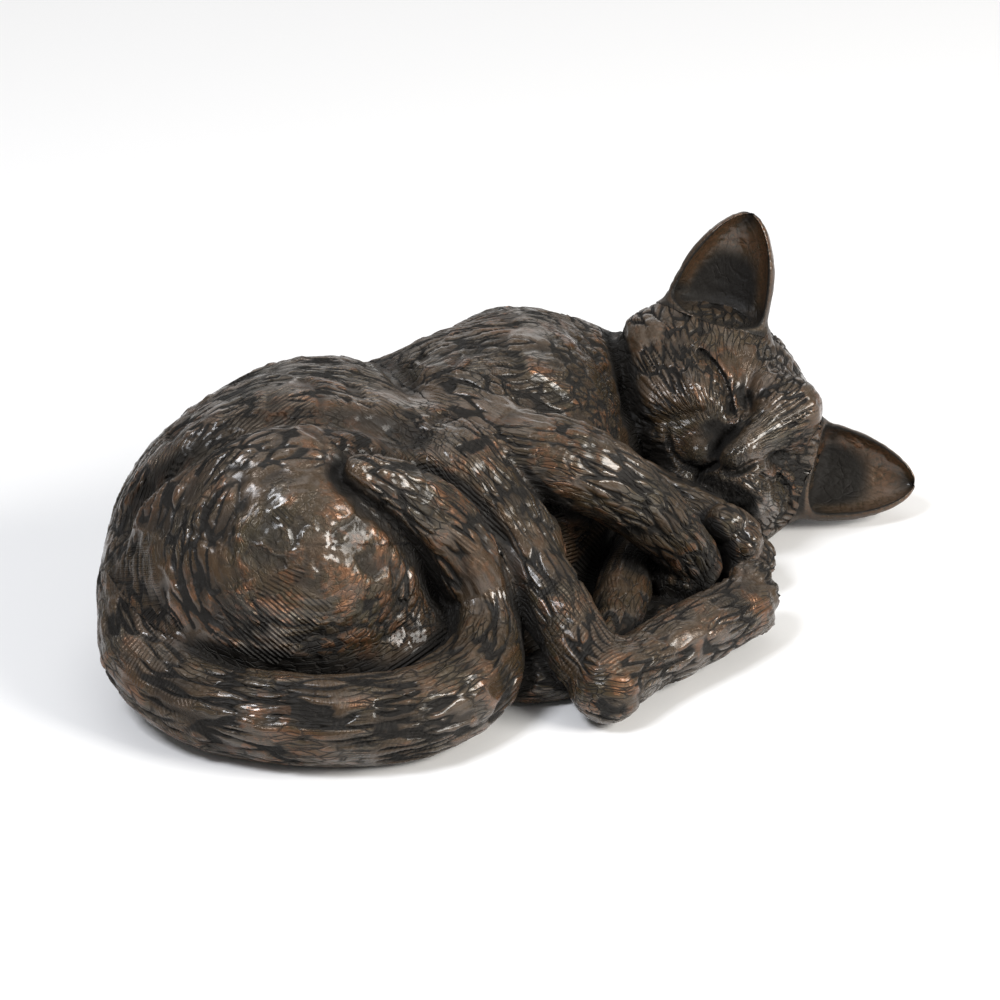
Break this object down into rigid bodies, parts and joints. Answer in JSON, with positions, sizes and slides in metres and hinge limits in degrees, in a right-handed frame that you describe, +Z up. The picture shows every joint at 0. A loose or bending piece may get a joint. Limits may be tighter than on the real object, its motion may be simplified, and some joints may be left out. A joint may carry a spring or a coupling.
{
  "type": "sleeping cat figurine",
  "caption": "Curled-up sleeping kitten statuette with a rough-modelled bronze-patina finish, bonded from castings on a felt-covered base.",
  "frame": {"origin": "on the underside of the felt pad, at the height of the surface that the figurine rests on, below the hollow between the belly and the legs", "axes": "+X from the rump towards the head, +Y from the belly towards the spine, +Z up"},
  "size_m": [0.2389, 0.2085, 0.096],
  "materials": {
    "bronze_patina": "satin",
    "raw_casting": "matte",
    "felt": "matte"
  },
  "bodies": {
    "root": {"body_shell": "bronze_patina", "head": "bronze_patina", "upper_ear": "bronze_patina", "lower_ear": "bronze_patina", "upper_hind_leg": "bronze_patina", "lower_hind_leg": "bronze_patina", "upper_foreleg": "bronze_patina", "lower_foreleg": "bronze_patina", "tail": "bronze_patina", "base_plate": "raw_casting", "felt_pad": "felt"}
  },
  "joints": []
}
